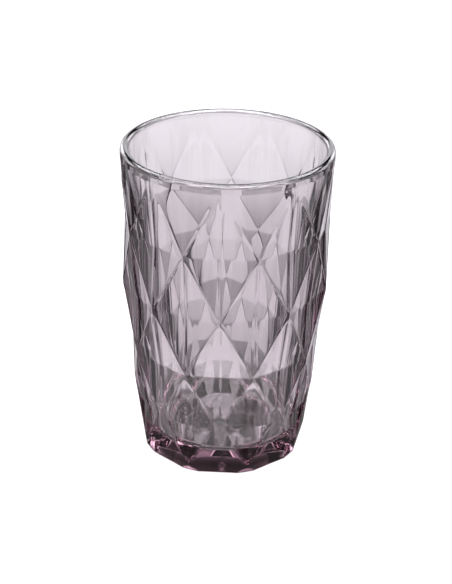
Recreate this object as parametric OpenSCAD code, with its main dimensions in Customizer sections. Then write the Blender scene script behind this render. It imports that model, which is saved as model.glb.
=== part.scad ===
// Faceted highball tumbler: one piece of pressed glass.
// The outside is a round body, straight above and leaning in below, cut into a net of diamonds.
// Every diamond is four shallow facets that meet in a sunken centre. The inside is a smooth round
// well over a thick solid base, and the rim is fully rounded.
// The origin is in the middle of the underside, +Z is up, and a top tip of the net faces -Y.

/* [Body] */
// Overall height, from the table to the top of the rim
glass_h = 129; // [120:1:150]
// Outer radius that the straight upper wall comes to
upper_r = 41.5; // [39:0.5:46]
// How far the lower wall leans in, per millimetre of height
lean = 0.0985; // [0.08:0.0005:0.11]
// Height where the straight upper wall and the leaning lower wall would meet
shoulder_z = 74; // [64:1:80]
// Softness of that meeting: a small value makes a sharper bend
shoulder_blend = 14; // [6:1:20]

/* [Diamonds] */
// Number of diamonds around the glass
diamonds = 9; // [8:1:12]
// Depth of each diamond's centre under the round body
centre_depth = 2.0; // [0.8:0.1:2.4]
// How far the ridges dip under the round body half-way between two corners
ridge_dip = 0.35; // [0.1:0.05:0.5]
// Height of the triangles that stand on the foot
base_triangle_h = 18.9; // [16:0.1:22]
// How much taller each row of the net is than the row below it
row_growth = 0.6; // [0:0.1:1]

/* [Rim] */
// Thickness of the wall at the rim, which is fully rounded over
rim_wall = 3.5; // [2.8:0.1:4.2]
// Height of the plain ring between the net's top tips and the top of the rim
plain_ring_h = 3.7; // [3:0.1:8]

/* [Well] */
// Thickness of the solid base under the well
floor_h = 9.5; // [7:0.5:13]
// Radius of the well where its wall meets the rounding at the floor
well_floor_r = 29; // [26:0.5:30]
// Radius of the rounding between the well's floor and its wall
well_fillet = 4; // [2:0.5:6]

/* [Foot] */
// Height of the bevelled foot under the net
foot_h = 3.2; // [2.4:0.2:5]
// How far the foot's flats draw in towards the table
foot_bevel = 0.5; // [0.2:0.1:0.8]
// How much smaller than the foot's corners the round underside is
foot_round = 1.6; // [1.2:0.1:2]
// Radius of the rounded edge that the glass stands on
foot_edge = 0.8; // [0.4:0.1:1.2]

/* [Hidden] */
$fn = 96;

// Layers that each row is divided into, so that its ridges follow the round body
steps = 4;
// How far shapes stand over the round surface that trims them flush
proud = 0.06;
// How far shapes reach past what they trim
clear = 5;

// The net has a row of triangles on the foot and this many rows of diamonds over it
diamond_rows = 4;
top_row = diamond_rows + 1;
half_pitch = 180 / diamonds;
waist_z = foot_h + base_triangle_h;
mean_row_h = (glass_h - plain_ring_h - waist_z) / diamond_rows;

// Height of a row of corners: row 0 is on the foot, and the last is the row of top tips
function row_z(row) =
    row == 0 ? foot_h
    : waist_z + (row - 1) * (mean_row_h - row_growth * (diamond_rows - row + 1) / 2);

// Radius of the round body: straight above the shoulder, leaning in below it
function body_r(z) =
    let (below = shoulder_z - z)
    upper_r - lean * (below + sqrt(below * below + shoulder_blend * shoulder_blend)) / 2;

lip_r = rim_wall / 2;
lip_z = glass_h - lip_r;
// Radius of the plain band between the top tips, which the rim carries on
band_r = body_r(lip_z);
band_row = top_row - 1;
// The shape that the plain band trims must clear the band's tangents between two tips
flare_r = upper_r / cos(half_pitch) + clear;
foot_corner_r = body_r(foot_h);
underside_corner_r = foot_corner_r - foot_bevel / cos(half_pitch);
underside_r = foot_corner_r - foot_round;

// Height, and radius of the ridges, at a share of the way from one row to the next
function layer_z(row, share) = row_z(row) * (1 - share) + row_z(row + 1) * share;
function ridge_r(row, share) =
    row == band_row ? band_r + proud
    : body_r(layer_z(row, share)) - 4 * ridge_dip * share * (1 - share);

// Radius of a row's corners
function corner_r(row) = row == top_row ? band_r + proud : body_r(row_z(row));

// Point at a radius, an angle from -Y and a height
function around(r, angle, z) = [r * sin(angle), -r * cos(angle), z];

// Angle of a corner of the net: rows are half a pitch apart, and the top row has a tip at -Y
function corner_angle(row, k) = (2 * k + (top_row - row) % 2) * half_pitch;

// Radius half-way between two corners of a row: a flat side on the foot, the sunken centre of a
// diamond above it, and clear of the plain band at the top
function middle_r(row) =
    row == 0 ? foot_corner_r * cos(half_pitch)
    : row == top_row ? flare_r
    : corner_r(row) - centre_depth;

// Two points a pitch: over the corners of a row, and over the middles between them
function row_ring(row, over_corner, over_middle, z) = [
    for (k = [0 : diamonds - 1])
        let (a = corner_angle(row, k))
        each [around(over_corner, a, z), around(over_middle, a + half_pitch, z)]
];

// Four points a pitch: over the lower row's corner, on the ridge that fans out from it, over the
// lower row's middle, and on the ridge that comes in from the next corner
function step_ring(row, share) =
    let (
        z = layer_z(row, share),
        on_ridge = ridge_r(row, share),
        over_corner = row == band_row
            ? flare_r
            : corner_r(row) * (1 - share) + middle_r(row + 1) * share,
        over_middle = row == 0
            ? on_ridge * cos((1 - share) * half_pitch)
            : middle_r(row) * (1 - share) + corner_r(row + 1) * share
    ) [
        for (k = [0 : diamonds - 1])
            let (a = corner_angle(row, k))
            each [
                around(over_corner, a, z),
                around(on_ridge, a + share * half_pitch, z),
                around(over_middle, a + half_pitch, z),
                around(on_ridge, a + (2 - share) * half_pitch, z)
            ]
    ];

// All rings from the bottom up: below the table, the underside, the net, and above the rim
below_net = [
    for (z = [-clear, 0])
        row_ring(0, underside_corner_r, underside_corner_r * cos(half_pitch), z)
];
rings = concat(
    below_net,
    [
        for (row = [0 : top_row])
            each concat(
                [row_ring(row, corner_r(row), middle_r(row), row_z(row))],
                row < top_row ? [for (i = [1 : steps - 1]) step_ring(row, i / steps)] : []
            )
    ],
    [row_ring(top_row, flare_r, flare_r, glass_h + clear)]
);
last_ring = len(rings) - 1;

// Index of point j of ring i, counting round and round
function ring_start(i) = i == 0 ? 0 : ring_start(i - 1) + len(rings[i - 1]);
starts = [for (i = [0 : last_ring]) ring_start(i)];
function at(i, j) = starts[i] + (j + len(rings[i])) % len(rings[i]);

// Two triangles between points j and j + 1 of ring i and points up and up + 1 of the ring above
function strip(i, j, up) = [
    [at(i, j), at(i + 1, up), at(i, j + 1)],
    [at(i, j + 1), at(i + 1, up), at(i + 1, up + 1)]
];

// A row's ring opens into the four-point ring over it: a ridge starts on each side of a corner
function opening_faces(i) = [
    for (k = [0 : diamonds - 1])
        let (j = 2 * k, up = 4 * k)
        each concat(
            [[at(i, j), at(i + 1, up), at(i + 1, up + 1)]],
            strip(i, j, up + 1),
            strip(i, j + 1, up + 2),
            [[at(i, j + 2), at(i + 1, up + 3), at(i + 1, up + 4)]]
        )
];

// A four-point ring closes into the row's ring over it, where two ridges meet in each corner.
// The upper row's first corner is half a pitch before or after the lower row's
function closing_faces(i) =
    let (upper_row = (i + 1 - len(below_net)) / steps, shift = (top_row - upper_row) % 2 == 1 ? -1 : 1)
    [
        for (k = [0 : diamonds - 1])
            let (j = 4 * k, up = 2 * k + shift)
            each concat(
                strip(i, j, up),
                [for (m = [1, 2]) [at(i, j + m), at(i + 1, up + 1), at(i, j + m + 1)]],
                strip(i, j + 3, up + 1)
            )
    ];

function ring_faces(i) =
    len(rings[i]) < len(rings[i + 1]) ? opening_faces(i)
    : len(rings[i]) > len(rings[i + 1]) ? closing_faces(i)
    : [for (j = [0 : len(rings[i]) - 1]) each strip(i, j, j)];

// The net of diamonds as one closed shape, flared out where the plain band and the rim come
module net() {
    polyhedron(
        points = [for (ring = rings) each ring],
        faces = concat(
            [[for (j = [0 : len(rings[0]) - 1]) at(0, j)]],
            [for (i = [0 : last_ring - 1]) each ring_faces(i)],
            [[for (j = [len(rings[last_ring]) - 1 : -1 : 0]) at(last_ring, j)]]
        ),
        convexity = 6
    );
}

// Half of the glass's section without its net: the round foot, the plain band, the rim and the well
module section() {
    edge_centre = underside_r - foot_edge;
    fillet_centre = well_floor_r - well_fillet;
    lip_centre = band_r - lip_r;
    mouth_r = lip_centre - lip_r;
    difference() {
        union() {
            polygon([
                [0, 0], [edge_centre, 0], [edge_centre, foot_edge], [underside_r, foot_edge],
                [foot_corner_r + proud, foot_h], [band_r, foot_h], [band_r, lip_z], [0, lip_z]
            ]);
            translate([edge_centre, foot_edge])
                circle(r = foot_edge);
            translate([lip_centre, lip_z])
                circle(r = lip_r);
        }
        polygon([
            [-clear, floor_h], [fillet_centre, floor_h], [fillet_centre, floor_h + well_fillet],
            [well_floor_r, floor_h + well_fillet], [mouth_r, lip_z],
            [mouth_r - proud, glass_h + clear], [-clear, glass_h + clear]
        ]);
        translate([fillet_centre, floor_h + well_fillet])
            circle(r = well_fillet);
    }
}

module tumbler_glass() {
    color([0.62, 0.57, 0.63, 0.55])
        intersection() {
            net();
            rotate_extrude()
                section();
        }
}

tumbler_glass();
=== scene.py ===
# %% [markdown]
# # A faceted glass tumbler
# This lesson builds the looks of one pressed-glass tumbler around its measured model. The tumbler is
# a single piece of tinted glass: a round, slightly tapered body whose outside is pressed into a net
# of sunken diamonds, a melted-round rim, a smooth well and a thick solid base.
#
# The tools come first.

# %% Load the measured model
import math
import bpy
import numpy as np
from mathutils import Matrix, Vector


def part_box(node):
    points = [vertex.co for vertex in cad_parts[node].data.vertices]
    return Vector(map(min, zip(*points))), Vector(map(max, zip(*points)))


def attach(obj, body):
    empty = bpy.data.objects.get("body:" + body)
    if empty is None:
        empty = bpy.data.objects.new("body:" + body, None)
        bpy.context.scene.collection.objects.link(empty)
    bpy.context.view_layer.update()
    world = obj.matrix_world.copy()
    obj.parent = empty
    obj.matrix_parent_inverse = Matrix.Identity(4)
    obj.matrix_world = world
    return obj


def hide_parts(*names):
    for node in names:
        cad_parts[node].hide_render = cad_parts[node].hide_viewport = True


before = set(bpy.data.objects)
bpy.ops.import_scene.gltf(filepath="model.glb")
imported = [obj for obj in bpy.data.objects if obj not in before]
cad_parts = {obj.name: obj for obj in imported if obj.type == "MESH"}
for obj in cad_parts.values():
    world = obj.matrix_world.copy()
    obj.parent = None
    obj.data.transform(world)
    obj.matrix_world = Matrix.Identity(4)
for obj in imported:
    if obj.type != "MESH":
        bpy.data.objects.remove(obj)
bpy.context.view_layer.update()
low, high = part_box("tumbler_glass")
GLASS_HEIGHT = high.z
RIM_RADIUS = (high.x - low.x) / 2
print(f"glass {GLASS_HEIGHT * 1000:.1f} mm high, rim radius {RIM_RADIUS * 1000:.2f} mm")

# %% [markdown]
# ## The camera
# A product view is taken from a little above with a long lens, so that the glass keeps its
# proportions. A camera can be placed by hand, but here it is worked out: a point on the glass's axis
# to aim at, a height angle, a distance, and a lens. A small roll matches a camera held slightly off
# level. It comes first so that every later step can be looked at through it.

# %% Camera
MM = 0.001
AIM = Vector((0.45 * MM, 0, 65.6 * MM))
CAMERA_ELEVATION = math.radians(26.88)
CAMERA_AZIMUTH = math.radians(2.5)
CAMERA_DISTANCE = 596 * MM
CAMERA_ROLL = math.radians(1.2)
FOCAL_IN_WIDTHS = 3.28208
SENSOR_WIDTH = 36.0


def look_from(azimuth, elevation, distance, aim):
    """Camera place and turn for a view from azimuth (0 is from -Y), raised by elevation."""
    back = Vector((
        math.sin(azimuth) * math.cos(elevation),
        -math.cos(azimuth) * math.cos(elevation),
        math.sin(elevation),
    ))
    turn = (-back).to_track_quat("-Z", "Y")
    return aim + distance * back, turn


def make_camera():
    data = bpy.data.cameras.new("product_camera")
    data.sensor_width = SENSOR_WIDTH
    data.sensor_fit = "HORIZONTAL"
    data.lens = FOCAL_IN_WIDTHS * SENSOR_WIDTH
    data.clip_start = 0.01
    camera = bpy.data.objects.new("product_camera", data)
    place, turn = look_from(CAMERA_AZIMUTH, CAMERA_ELEVATION, CAMERA_DISTANCE, AIM)
    roll = Matrix.Rotation(CAMERA_ROLL, 4, "Z")
    camera.matrix_world = Matrix.Translation(place) @ turn.to_matrix().to_4x4() @ roll
    bpy.context.scene.collection.objects.link(camera)
    bpy.context.scene.camera = camera
    return camera


camera = make_camera()
print("camera at", [round(c, 3) for c in camera.location])

# %% [markdown]
# ## The round body
# A pressed glass starts as a round body in the mould: almost straight in its upper part, then
# leaning in towards the base. One smooth curve gives both, as the average of two straight lines
# with a soft bend between them. All sizes here are in millimetres and match the measured model.

# %% Profile of the round body
MM_HEIGHT = GLASS_HEIGHT / MM
MM_RIM = RIM_RADIUS / MM
LEAN = 0.0985
SHOULDER_Z = 74.0
SHOULDER_BLEND = 14.0
LIP_RADIUS = 1.75
LIP_Z = MM_HEIGHT - LIP_RADIUS


def lean_in(z):
    """How much the leaning lower wall takes off the radius at a height."""
    below = SHOULDER_Z - z
    return LEAN * (below + np.sqrt(below * below + SHOULDER_BLEND**2)) / 2


def body_radius(z):
    return MM_RIM + lean_in(LIP_Z) - lean_in(z)


print("body radius from foot to rim:", [round(float(body_radius(z)), 1) for z in (3.2, 40, 74, 127)])

# %% [markdown]
# ## The net of diamonds
# The mould is cut with rows of diamonds, each half a pitch round from the next. Every diamond is
# four flat facets that meet in a sunken centre. The corners are found once here: heights of the
# rows, and angles round the glass. Angle 0 faces -Y, where the camera is.

# %% Corners of the net
DIAMONDS = 9
DIAMOND_ROWS = 4
TOP_ROW = DIAMOND_ROWS + 1
HALF_PITCH = math.pi / DIAMONDS
FOOT_HEIGHT = 3.2
BASE_TRIANGLE = 18.9
ROW_GROWTH = 0.6
PLAIN_RING = 3.7
CENTRE_DEPTH = 2.0
MEAN_ROW = (MM_HEIGHT - PLAIN_RING - FOOT_HEIGHT - BASE_TRIANGLE) / DIAMOND_ROWS


def row_height(row):
    """Height of a row of corners: row 0 is on the foot, and the last row holds the top tips."""
    if row == 0:
        return FOOT_HEIGHT
    shorter = ROW_GROWTH * (DIAMOND_ROWS - row + 1) / 2
    return FOOT_HEIGHT + BASE_TRIANGLE + (row - 1) * (MEAN_ROW - shorter)


def corner_angle(row, k):
    return (2 * k + (TOP_ROW - row) % 2) * HALF_PITCH


def solid_point(angle, z, radius):
    return np.array([radius * math.sin(angle), -radius * math.cos(angle), z])


def corner_point(row, angle):
    return solid_point(angle, row_height(row), float(body_radius(row_height(row))))


print("rows at", [round(row_height(row), 1) for row in range(TOP_ROW + 1)], "mm")

# %% [markdown]
# ## Flat facets as a formula
# A facet lies on a plane, and a plane seen from the glass's axis has a simple distance at every
# angle and height. The outside of the glass is then the smallest of many such distances: wherever
# two planes cross, the smaller one wins, and that makes a ridge. A sunken centre works the other way
# round, so a diamond takes the larger of its upper pair and its lower pair.
#
# Real pressed glass has no razor edges. The cutter that sinks the facets into the mould can leave a
# fine groove where two of them meet, and the hot glass fills it, so that a ridge carries a low rounded
# bead and shows as a pair of fine lines. Here the choices are taken softly, so that every edge blends over
# a small length, and the bead is a bell curve of how nearly equal the two distances are. A bevel
# modifier would tangle at corners where eight edges meet.

# %% Planes and soft choices
RIDGE_BEAD = 0.10
RIDGE_REACH = 0.13
SPINE_BEAD = 0.16
SPINE_REACH = 0.05
EDGE_SOFT = 0.03
CREASE_SOFT = 0.02


def soft_smallest(values, softness):
    """Smallest of several arrays, blended where they are within a few softness of each other."""
    values = np.stack(values)
    least = values.min(0)
    return least - softness * np.log(np.exp((least - values) / softness).sum(0))


def soft_largest(values, softness):
    return -soft_smallest([-v for v in values], softness)


def bead(difference, height, reach):
    """Height of a rounded bead on the line where two distances are equal."""
    return height * np.exp(-(difference / reach) ** 2)


def plane_distance(points, angle, z):
    """Distance from the axis to the plane through three points, at each angle and height."""
    a, b, c = points
    normal = np.cross(b - a, c - a)
    facing = normal[0] * np.sin(angle) - normal[1] * np.cos(angle)
    with np.errstate(divide="ignore", invalid="ignore"):
        return (normal @ a - normal[2] * z) / facing


def diamond_distance(row, k, angle, z):
    """Distance from the axis to one diamond, continued past its edges."""
    left_angle = corner_angle(row, k)
    middle = left_angle + HALF_PITCH
    centre = corner_point(row, middle) - solid_point(middle, 0.0, CENTRE_DEPTH)
    left = corner_point(row, left_angle)
    right = corner_point(row, left_angle + 2 * HALF_PITCH)
    halves = []
    for tip_row in (row + 1, row - 1):
        tip = corner_point(tip_row, middle)
        sides = [plane_distance((centre, side, tip), angle, z) for side in (left, right)]
        spine = bead(sides[0] - sides[1], SPINE_BEAD, SPINE_REACH)
        halves.append(soft_smallest(sides, EDGE_SOFT / 2) + spine)
    return soft_largest(halves, CREASE_SOFT)


# %% [markdown]
# ## The outside of the glass
# Four kinds of surface bound the outside: the diamonds, the flat triangles that stand on the foot,
# the plain band under the rim, and the nine-sided foot with its rounded corners. Where two top tips
# leave the wall plain, the band is drawn in a little between tip and corner, because the ridges
# beside it are straight and a straight line between two points of a round body runs inside it.

# %% Distance from the axis to the outside
FOOT_BEVEL = 0.5
FOOT_ROUND = 1.6
FOOT_EDGE = 0.8
FAR = 1000.0
NEARBY = 2.6 * HALF_PITCH


def angle_from(angle, centre):
    """Signed angle from a centre line, from -pi to pi."""
    return (angle - centre + math.pi) % (2 * math.pi) - math.pi


def near(distance, angle, centre):
    """A distance, kept only where the angle is close enough for it to matter."""
    return np.where(np.abs(angle_from(angle, centre)) < NEARBY, distance, FAR)


def band_distance(z):
    """Plain band: the round body, drawn in between the tips and the corners under them."""
    low_z, tip_z = row_height(TOP_ROW - 1), row_height(TOP_ROW)
    share = np.clip((z - low_z) / (tip_z - low_z), 0, 1)
    straight = np.sqrt(1 - 2 * share * (1 - share) * (1 - math.cos(HALF_PITCH)))
    return body_radius(z) * straight


def foot_distances(angle, z):
    """Nine bevelled flats, and the cone that rounds their corners off."""
    corner = float(body_radius(FOOT_HEIGHT))
    flat = corner * math.cos(HALF_PITCH) - FOOT_BEVEL * (1 - z / FOOT_HEIGHT)
    flats = [
        near(flat / np.cos(angle_from(angle, corner_angle(1, k))), angle, corner_angle(1, k))
        for k in range(DIAMONDS)
    ]
    cone = corner - FOOT_ROUND * (FOOT_HEIGHT - z) / (FOOT_HEIGHT - FOOT_EDGE)
    return [np.stack(flats).min(0), cone + 0 * angle]


def outside_distance(angle, z):
    """Distance from the axis to the outside of the glass, at arrays of angles and heights."""
    choices = [band_distance(z) + 0 * angle, *foot_distances(angle, z)]
    for row in range(1, TOP_ROW):
        for k in range(DIAMONDS):
            middle = corner_angle(row, k) + HALF_PITCH
            choices.append(near(diamond_distance(row, k, angle, z), angle, middle))
    for k in range(DIAMONDS):
        apex = corner_angle(1, k)
        feet = [corner_point(0, apex + side * HALF_PITCH) for side in (-1, 1)]
        points = (corner_point(1, apex), *feet)
        choices.append(near(plane_distance(points, angle, z), angle, apex))
    lowest, second = np.partition(np.stack(choices), 1, axis=0)[:2]
    return soft_smallest(choices, EDGE_SOFT) + bead(second - lowest, RIDGE_BEAD, RIDGE_REACH)


# %% [markdown]
# ## A mesh that follows the ridges
# The formula could be sampled on a plain grid, but slanting ridges would then come out as tiny
# stairs, and glass magnifies every stair. So the mesh is laid out facet by facet: each facet is a
# triangle in the unrolled wall, divided into small triangles that crowd towards its edges, where the
# rounding is. Neighbouring facets share their edge points, so merging them closes the wall.

# %% Divide a facet
DIVISIONS = 36
CROWDING = 1.5


def facet_lattice():
    """Shares of a facet's three corners at every lattice point, and the small triangles."""
    shares, index = [], {}
    for i in range(DIVISIONS + 1):
        for j in range(DIVISIONS + 1 - i):
            index[i, j] = len(shares)
            shares.append((DIVISIONS - i - j, i, j))
    crowded = (np.array(shares) / DIVISIONS) ** CROWDING
    triangles = []
    for i in range(DIVISIONS):
        for j in range(DIVISIONS - i):
            triangles.append((index[i, j], index[i + 1, j], index[i, j + 1]))
            if i + j < DIVISIONS - 1:
                triangles.append((index[i + 1, j], index[i + 1, j + 1], index[i, j + 1]))
    return crowded / crowded.sum(1, keepdims=True), np.array(triangles)


def wall_facets():
    """Corners (angle, height) of every facet of the wall, counterclockwise from outside."""
    facets = []
    for row in range(1, TOP_ROW):
        for k in range(DIAMONDS):
            left = corner_angle(row, k)
            centre = (left + HALF_PITCH, row_height(row))
            ring = [
                (left + 2 * HALF_PITCH, row_height(row)),
                (left + HALF_PITCH, row_height(row + 1)),
                (left, row_height(row)),
                (left + HALF_PITCH, row_height(row - 1)),
            ]
            facets += [(centre, ring[i], ring[(i + 1) % 4]) for i in range(4)]
    for k in range(DIAMONDS):
        for row, edge_row in ((1, 0), (TOP_ROW - 1, TOP_ROW)):
            point = (corner_angle(row, k), row_height(row))
            before = (point[0] - HALF_PITCH, row_height(edge_row))
            after = (point[0] + HALF_PITCH, row_height(edge_row))
            facets.append((point, before, after) if edge_row == 0 else (point, after, before))
    return facets


def unrolled_wall():
    """Angles and heights of the wall's points, each once, and its triangles."""
    shares, triangles = facet_lattice()
    facets = np.array(wall_facets())
    points = np.einsum("ps,fsc->fpc", shares, facets).reshape(-1, 2)
    points[:, 0] %= 2 * math.pi
    keys = np.round(points * [1e6, 1e4]).astype(np.int64)
    keys[:, 0] %= round(2 * math.pi * 1e6)
    _, first, back = np.unique(keys, axis=0, return_index=True, return_inverse=True)
    offsets = np.arange(len(facets))[:, None, None] * len(shares)
    faces = back.reshape(-1)[(triangles[None] + offsets).reshape(-1, 3)]
    return points[first], faces


wall_points, wall_faces = unrolled_wall()
print(f"wall: {len(wall_points)} points, {len(wall_faces)} triangles")

# %% [markdown]
# ## Foot, rim and well
# Below and above the net the glass is made of rings, like a pot on a wheel. Going down, rings run
# round the foot's edge and in under the base. Going up, they run over the melted rim, down the well
# and in across its floor. Each ring uses the same angles as the row of the net that it starts from,
# so the whole glass becomes one closed skin, which refraction and absorption need.

# %% Rings that close the skin
FLOOR_HEIGHT = 9.5
WELL_FLOOR_RADIUS = 29.0
WELL_FILLET = 4.0


def quarter(count, start, end):
    return np.radians(np.linspace(start, end, count + 1)[1:])


def foot_rings(angle):
    """Rings (radius, height) from under row 0 down to the middle of the underside."""
    rings = []
    for z in np.linspace(FOOT_HEIGHT, FOOT_EDGE, 9)[1:]:
        rings.append((outside_distance(angle, z + 0 * angle), z))
    edge = outside_distance(angle, FOOT_EDGE + 0 * angle)
    for turn in quarter(8, 0, -90):
        rings.append((edge - FOOT_EDGE * (1 - math.cos(turn)), FOOT_EDGE * (1 + math.sin(turn))))
    under = rings[-1][0]
    for share in (0.93, 0.8, 0.6, 0.4, 0.2):
        rings.append((under * share, 0.0))
    return rings


def rim_and_well_rings(angle):
    """Rings from over the top tips, round the rim, down the well and in across its floor."""
    rings = []
    for z in np.linspace(row_height(TOP_ROW), LIP_Z, 5)[1:]:
        rings.append((outside_distance(angle, z + 0 * angle), z))
    stand_off = rings[-1][0] - MM_RIM
    lip_centre = MM_RIM - LIP_RADIUS
    for turn in quarter(28, 0, 180):
        outward = max(math.cos(turn), 0.0)
        rings.append((lip_centre + LIP_RADIUS * math.cos(turn) + stand_off * outward,
                      LIP_Z + LIP_RADIUS * math.sin(turn)))
    mouth = lip_centre - LIP_RADIUS
    fillet_z = FLOOR_HEIGHT + WELL_FILLET
    for share in np.linspace(0, 1, 41)[1:]:
        rings.append((mouth + (WELL_FLOOR_RADIUS - mouth) * share + 0 * angle,
                      LIP_Z + (fillet_z - LIP_Z) * share))
    for turn in quarter(10, 0, -90):
        rings.append((WELL_FLOOR_RADIUS - WELL_FILLET * (1 - math.cos(turn)) + 0 * angle,
                      fillet_z + WELL_FILLET * math.sin(turn)))
    for share in (0.9, 0.75, 0.55, 0.35, 0.15):
        rings.append(((WELL_FLOOR_RADIUS - WELL_FILLET) * share + 0 * angle, FLOOR_HEIGHT))
    return rings


# %% [markdown]
# ## Join it all into one skin
# The wall and its rings are joined point to point, and the middles of the underside and of the well's
# floor are closed with fans. A gap anywhere would let the tint leak out of the glass, so the edges
# are counted afterwards: in a closed skin every edge belongs to exactly two faces.

# %% Build the glass
def add_rings(vertices, faces, start, angle, rings, centre_height, upward):
    """Joins rings one after another to the ring of vertex numbers start, and closes the middle."""
    previous = start
    for radius, z in rings:
        number = len(vertices) + np.arange(len(angle))
        ring = np.stack([radius * np.sin(angle), -radius * np.cos(angle), z + 0 * angle], 1)
        vertices = np.concatenate([vertices, ring])
        a, b = (previous, number) if upward else (number, previous)
        faces += [(a[i - 1], a[i], b[i], b[i - 1]) for i in range(len(angle))]
        previous = number
    centre = len(vertices)
    vertices = np.concatenate([vertices, [[0, 0, centre_height]]])
    for i in range(len(angle)):
        last = (previous[i - 1], previous[i])
        faces.append((*last, centre) if upward else (*last[::-1], centre))
    return vertices


def ring_of(points, z):
    """Numbers and angles of the wall points at a height, in order round the glass."""
    found = np.nonzero(np.abs(points[:, 1] - z) < 1e-3)[0]
    order = found[np.argsort(points[found, 0])]
    return order, points[order, 0]


def build_glass():
    angle, z = wall_points.T
    radius = outside_distance(angle, z)
    vertices = np.stack([radius * np.sin(angle), -radius * np.cos(angle), z], 1)
    faces = [tuple(f) for f in wall_faces]
    foot, foot_angle = ring_of(wall_points, row_height(0))
    tips, tip_angle = ring_of(wall_points, row_height(TOP_ROW))
    vertices = add_rings(vertices, faces, foot, foot_angle, foot_rings(foot_angle), 0.0, False)
    upper_rings = rim_and_well_rings(tip_angle)
    vertices = add_rings(vertices, faces, tips, tip_angle, upper_rings, FLOOR_HEIGHT, True)
    mesh = bpy.data.meshes.new("tumbler")
    mesh.from_pydata((vertices * MM).tolist(), [], [[int(v) for v in f] for f in faces])
    mesh.validate()
    mesh.shade_smooth()
    glass = bpy.data.objects.new("tumbler", mesh)
    bpy.context.scene.collection.objects.link(glass)
    return glass


glass = build_glass()
edge_of_corner = np.zeros(len(glass.data.loops), dtype=np.int32)
glass.data.loops.foreach_get("edge_index", edge_of_corner)
faces_on_edge = np.bincount(edge_of_corner, minlength=len(glass.data.edges))
print(f"glass: {len(glass.data.vertices)} vertices, {len(glass.data.polygons)} faces")
print("every edge has two faces:", bool((faces_on_edge == 2).all()))

# %% [markdown]
# ## Tinted glass
# Coloured glass is clear at its surface and takes light away on the way through, so a thin wall
# looks pale and the thick base looks dark. A coloured surface could fake this, but then thin and
# thick parts would have one colour. Here the surface only bends and reflects light, and an absorption
# volume inside the closed skin does the tinting.
#
# A mould leaves faint waves in hot glass, and use leaves a soft haze. Two noises do that: a wide one
# bends the surface by about a hundredth of a millimetre, and a fine one varies the polish.

# %% Glass material
def node(tree, kind, **settings):
    made = tree.nodes.new(kind)
    for name, value in settings.items():
        setattr(made, name, value)
    return made


def glass_material():
    material = bpy.data.materials.new("smoky_mauve_glass")
    material.use_nodes = True
    tree = material.node_tree
    tree.nodes.clear()
    link = tree.links.new
    output = node(tree, "ShaderNodeOutputMaterial")
    surface = node(tree, "ShaderNodeBsdfPrincipled")
    surface.inputs["Base Color"].default_value = (1.0, 1.0, 1.0, 1)
    surface.inputs["Transmission Weight"].default_value = 1.0
    surface.inputs["IOR"].default_value = 1.52
    link(surface.outputs["BSDF"], output.inputs["Surface"])
    tint = node(tree, "ShaderNodeVolumeAbsorption")
    tint.inputs["Color"].default_value = (0.55, 0.417, 0.475, 1)
    tint.inputs["Density"].default_value = 60.0
    link(tint.outputs["Volume"], output.inputs["Volume"])
    place = node(tree, "ShaderNodeTexCoord")
    waves = node(tree, "ShaderNodeTexNoise")
    waves.inputs["Scale"].default_value = 60.0
    waves.inputs["Detail"].default_value = 2.0
    link(place.outputs["Object"], waves.inputs["Vector"])
    bump = node(tree, "ShaderNodeBump")
    bump.inputs["Strength"].default_value = 0.08
    bump.inputs["Distance"].default_value = 0.0002
    link(waves.outputs["Fac"], bump.inputs["Height"])
    link(bump.outputs["Normal"], surface.inputs["Normal"])
    haze = node(tree, "ShaderNodeTexNoise")
    haze.inputs["Scale"].default_value = 220.0
    haze.inputs["Detail"].default_value = 4.0
    link(place.outputs["Object"], haze.inputs["Vector"])
    polish = node(tree, "ShaderNodeMapRange")
    polish.inputs["From Min"].default_value = 0.45
    polish.inputs["From Max"].default_value = 0.8
    polish.inputs["To Min"].default_value = 0.0
    polish.inputs["To Max"].default_value = 0.006
    link(haze.outputs["Fac"], polish.inputs["Value"])
    link(polish.outputs["Result"], surface.inputs["Roughness"])
    return material


glass.data.materials.append(glass_material())
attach(glass, "root")
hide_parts("tumbler_glass")
print("glass material on", glass.name)

# %% [markdown]
# ## The studio
# Clear glass has no colour of its own to light: it shows its surroundings, bent. So the studio is
# half of the material. The camera sees only a plain pale sweep, a floor that turns up into a wall.
# It is hidden from bent and mirrored rays, as if it were out of the way behind the light panels that
# come next, because an evenly white floor would wash every facet out.
#
# Under the foot the table gets little light. A dim disc stands for that shade, so that the thick base
# shows its own deep tint. Only the glass sees it.

# %% Pale sweep and shade
def ring_surface(name, profile, count=96):
    """Closed or open surface of revolution from a list of (radius, height) in metres."""
    rows = [[(r * math.cos(t), r * math.sin(t), z) for t in np.linspace(0, 2 * math.pi, count + 1)[:-1]]
            for r, z in profile]
    faces = []
    for j in range(len(profile) - 1):
        for i in range(count):
            n = (i + 1) % count
            faces.append((j * count + i, j * count + n, (j + 1) * count + n, (j + 1) * count + i))
    mesh = bpy.data.meshes.new(name)
    mesh.from_pydata([p for row in rows for p in row], [], faces)
    mesh.shade_smooth()
    made = bpy.data.objects.new(name, mesh)
    bpy.context.scene.collection.objects.link(made)
    return made


def pale_sweep():
    bend = [(3.0 + 1.0 * math.sin(t), 1.0 - 1.0 * math.cos(t)) for t in np.linspace(0, math.pi / 2, 13)]
    sweep = ring_surface("pale_sweep", [(0.001, 0.0), (0.3, 0.0), *bend, (4.0, 4.0)])
    sweep.location.z = -0.0001
    material = bpy.data.materials.new("pale_sweep")
    material.use_nodes = True
    surface = material.node_tree.nodes["Principled BSDF"]
    surface.inputs["Base Color"].default_value = (0.16, 0.16, 0.16, 1)
    surface.inputs["Roughness"].default_value = 0.8
    surface.inputs["Specular IOR Level"].default_value = 0.0
    surface.inputs["Emission Color"].default_value = (1, 1, 1, 1)
    surface.inputs["Emission Strength"].default_value = 0.86
    sweep.data.materials.append(material)
    sweep.visible_transmission = False
    sweep.visible_glossy = False
    return sweep


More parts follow.
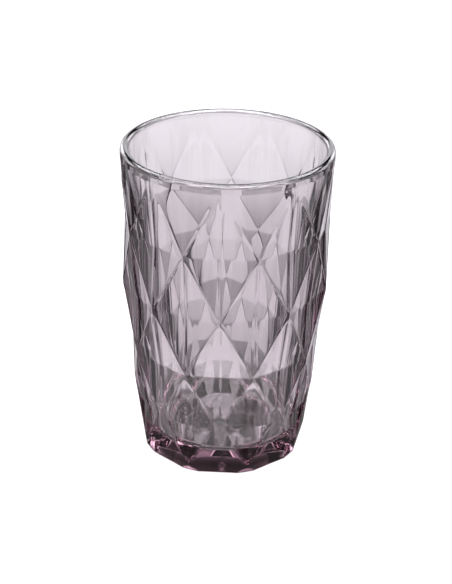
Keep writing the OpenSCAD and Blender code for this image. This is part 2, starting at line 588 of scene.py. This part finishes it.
SHADE_LIGHT = 0.11
SHADE_FULL = 0.036
SHADE_END = 0.064


def foot_shade():
    """Shaded table under and just round the foot, as the glass sees it: dark, then fading out."""
    disc = ring_surface("foot_shade", [(0.0005, 0.0), (SHADE_FULL, 0.0), (SHADE_END, 0.0)])
    disc.location.z = -0.00005
    material = bpy.data.materials.new("foot_shade")
    material.use_nodes = True
    tree = material.node_tree
    tree.nodes.clear()
    place = node(tree, "ShaderNodeTexCoord")
    radius = node(tree, "ShaderNodeVectorMath", operation="LENGTH")
    tree.links.new(place.outputs["Object"], radius.inputs[0])
    fade = node(tree, "ShaderNodeMapRange", interpolation_type="SMOOTHSTEP")
    fade.inputs["From Min"].default_value = SHADE_FULL
    fade.inputs["From Max"].default_value = SHADE_END
    tree.links.new(radius.outputs["Value"], fade.inputs["Value"])
    glow = node(tree, "ShaderNodeEmission")
    glow.inputs["Color"].default_value = (0.95, 1.0, 0.94, 1)
    glow.inputs["Strength"].default_value = SHADE_LIGHT
    blend = node(tree, "ShaderNodeMixShader")
    tree.links.new(fade.outputs["Result"], blend.inputs["Fac"])
    tree.links.new(glow.outputs["Emission"], blend.inputs[1])
    tree.links.new(node(tree, "ShaderNodeBsdfTransparent").outputs["BSDF"], blend.inputs[2])
    output = node(tree, "ShaderNodeOutputMaterial")
    tree.links.new(blend.outputs["Shader"], output.inputs["Surface"])
    disc.data.materials.append(material)
    disc.visible_camera = False
    disc.visible_diffuse = False


pale_sweep()
foot_shade()
print("sweep and shade ready")

# %% [markdown]
# ## Panels all round
# The glass sees tall soft panels: four wide ones and, between them, four narrow ones. Below the
# horizon the gaps are dark. Facets that look into a panel come out pale, and those that bend the view
# into a gap come out dark, which is how cut glass is usually lit to draw its edges. Above the horizon
# the gaps are the brighter part, and a bright ring runs all round: the rounded rim gathers light from
# there, and stays a pale line instead of a black one. Over it come a dark ring and a bright ceiling.
#
# The panels also fade where a view through the wall points down, so a facet that tips it up is
# lighter than one that tips it down. Lamps could do this too, but panels written as a sky need no
# stands or other objects that the glass would also show.

# %% Panels all round
PANEL_SHAPES = [(4, 18.0, 25.0, 1.0), (8, 3.0, 7.0, 0.65)]
PANEL_BY_ELEVATION = [
    (-90, 1.20), (-50, 1.10), (-42, 0.45), (-36, 0.38), (-32, 0.52), (-27.5, 0.84), (-23.5, 0.93),
    (-18, 1.00), (-8, 1.00), (5, 1.00), (8, 2.60), (22, 2.60), (24, 0.06), (32, 0.06),
    (38, 4.5), (90, 4.5),
]
GAP_BELOW = 0.03
GAP_ABOVE = 2.60
GAP_CHANGE = (-14, -4)
COOL = (0.975, 0.945, 1.0)


def math_node(tree, operation, *values):
    """Math node whose inputs are numbers or other nodes' outputs."""
    made = node(tree, "ShaderNodeMath", operation=operation)
    for slot, value in zip(made.inputs, values):
        if isinstance(value, (int, float)):
            slot.default_value = value
        else:
            tree.links.new(value, slot)
    return made.outputs[0]


def studio_world():
    """A sky of panels: a colour ramp by elevation times a pattern round the horizon."""
    world = bpy.data.worlds.new("studio")
    bpy.context.scene.world = world
    world.use_nodes = True
    tree = world.node_tree
    direction = node(tree, "ShaderNodeTexCoord").outputs["Generated"]
    split = node(tree, "ShaderNodeSeparateXYZ")
    tree.links.new(direction, split.inputs["Vector"])
    elevation = math_node(tree, "ARCSINE", split.outputs["Z"])
    place = math_node(tree, "MULTIPLY_ADD", elevation, 1 / math.pi, 0.5)
    brightest = max(light for _, light in PANEL_BY_ELEVATION)
    ramp = node(tree, "ShaderNodeValToRGB")
    stops = ramp.color_ramp.elements
    while len(stops) < len(PANEL_BY_ELEVATION):
        stops.new(0.5)
    for stop, (degrees, light) in zip(stops, PANEL_BY_ELEVATION):
        stop.position = degrees / 180 + 0.5
        share = light / brightest
        stop.color = (share * COOL[0], share * COOL[1], share * COOL[2], 1)
    tree.links.new(place, ramp.inputs["Fac"])
    turn = math_node(tree, "ARCTAN2", split.outputs["X"], split.outputs["Y"])
    shapes = []
    for count, full, end, light in PANEL_SHAPES:
        wave = math_node(tree, "COSINE", math_node(tree, "MULTIPLY", turn, float(count)))
        shape = node(tree, "ShaderNodeMapRange", interpolation_type="SMOOTHSTEP")
        shape.inputs["From Min"].default_value = math.cos(math.radians(count * end))
        shape.inputs["From Max"].default_value = math.cos(math.radians(count * full))
        shape.inputs["To Max"].default_value = light
        tree.links.new(wave, shape.inputs["Value"])
        shapes.append(shape.outputs["Result"])
    panel = math_node(tree, "MAXIMUM", *shapes)
    lights = [math_node(tree, "MULTIPLY_ADD", panel, 1 - gap, gap) for gap in (GAP_BELOW, GAP_ABOVE)]
    above = node(tree, "ShaderNodeMapRange")
    above.inputs["From Min"].default_value = math.radians(GAP_CHANGE[0])
    above.inputs["From Max"].default_value = math.radians(GAP_CHANGE[1])
    tree.links.new(elevation, above.inputs["Value"])
    blend = node(tree, "ShaderNodeMix")
    tree.links.new(above.outputs["Result"], blend.inputs["Factor"])
    tree.links.new(lights[0], blend.inputs["A"])
    tree.links.new(lights[1], blend.inputs["B"])
    background = tree.nodes["Background"]
    tree.links.new(ramp.outputs["Color"], background.inputs["Color"])
    strength = math_node(tree, "MULTIPLY", blend.outputs["Result"], brightest)
    tree.links.new(strength, background.inputs["Strength"])


studio_world()
print("panels:", max(count for count, *_ in PANEL_SHAPES))

# %% [markdown]
# ## Settings
# Light has to pass many surfaces in thick glass, so the bounces allowed are raised. The view is set
# to plain sRGB, so that white stays white.

# %% Finish
scene = bpy.context.scene
scene.view_settings.view_transform = "Standard"
scene.cycles.max_bounces = 32
scene.cycles.transmission_bounces = 32
scene.cycles.glossy_bounces = 16
scene.cycles.transparent_max_bounces = 16
